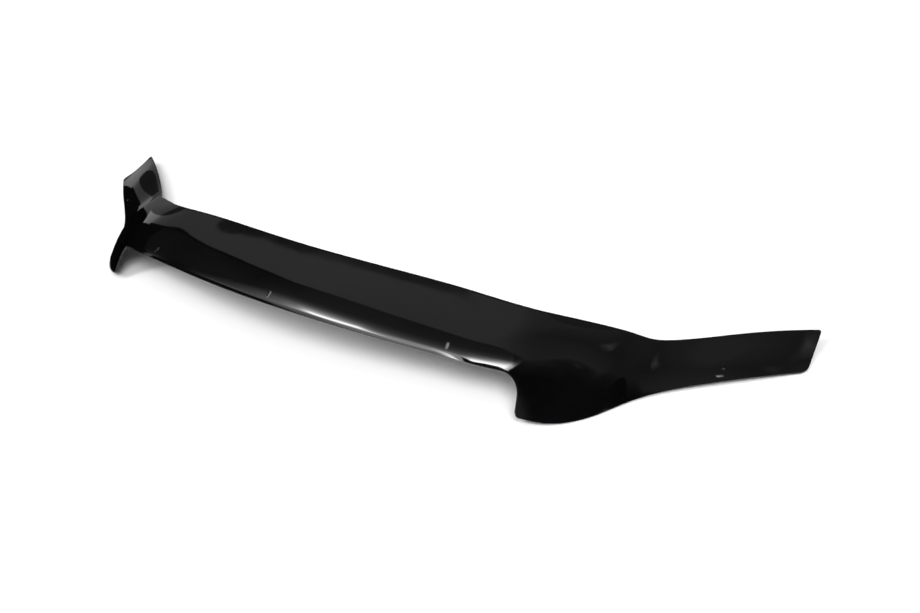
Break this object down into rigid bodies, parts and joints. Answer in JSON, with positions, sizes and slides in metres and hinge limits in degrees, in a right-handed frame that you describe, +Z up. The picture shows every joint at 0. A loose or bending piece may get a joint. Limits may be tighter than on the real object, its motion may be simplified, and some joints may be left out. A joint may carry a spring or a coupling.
{
  "type": "hood deflector",
  "caption": "Wraparound hood deflector: an arched centre panel above a grille opening, with drop lobes beside it and swept-back wings, in thin glossy plastic sheet.",
  "frame": {"origin": "under the middle of the sheet's bounding box, on the surface that it lies on", "axes": "+X across the car towards its left side, -Y forward, +Z up; X = 0 is the plane of symmetry"},
  "size_m": [1.3994, 0.3778, 0.1197],
  "materials": {
    "sheet": "high-gloss black plastic sheet, smooth on both faces, with trimmed edges"
  },
  "bodies": {
    "root": {"deflector": "sheet"}
  },
  "joints": []
}
